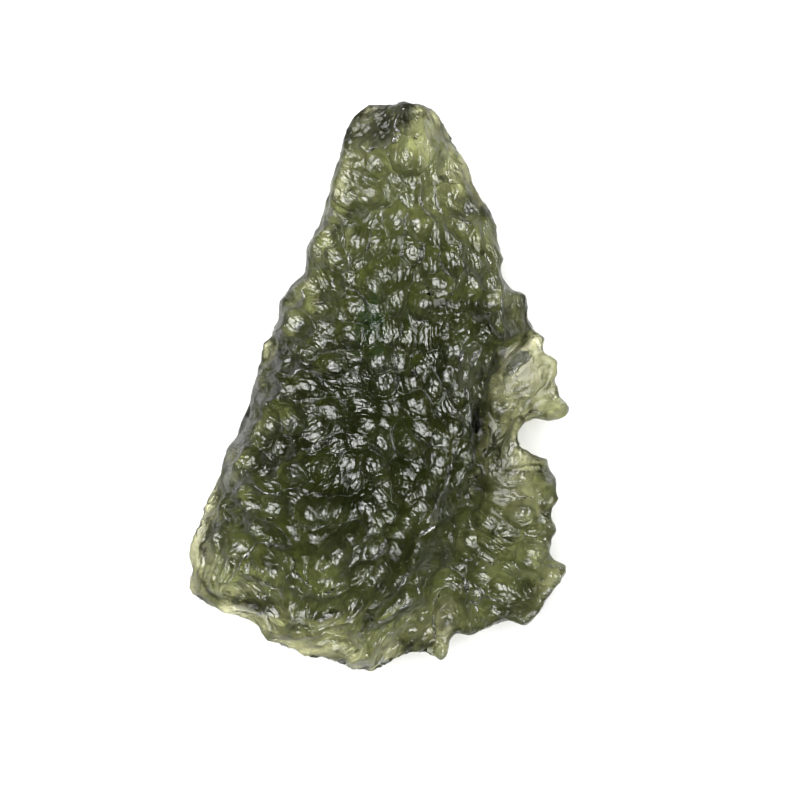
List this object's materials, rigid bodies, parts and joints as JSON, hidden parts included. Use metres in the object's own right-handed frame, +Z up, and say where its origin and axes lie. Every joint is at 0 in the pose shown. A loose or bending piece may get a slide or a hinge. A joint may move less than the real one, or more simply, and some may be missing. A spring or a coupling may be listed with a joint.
{
  "type": "moldavite",
  "caption": "Rough piece of green natural glass, a pointed wedge with a pitted, ridged surface and a thin toothed flange, lying flat.",
  "frame": {"origin": "on the surface that it rests on, under the middle of its bounding box", "axes": "+X towards the thin toothed flange, +Y along its length towards the narrow crown, +Z up through its thickness"},
  "size_m": [0.0212, 0.0318, 0.008],
  "materials": {
    "moldavite_glass": "etched, glossy on ridge tops"
  },
  "bodies": {
    "root": {"moldavite": "moldavite_glass"}
  },
  "joints": []
}
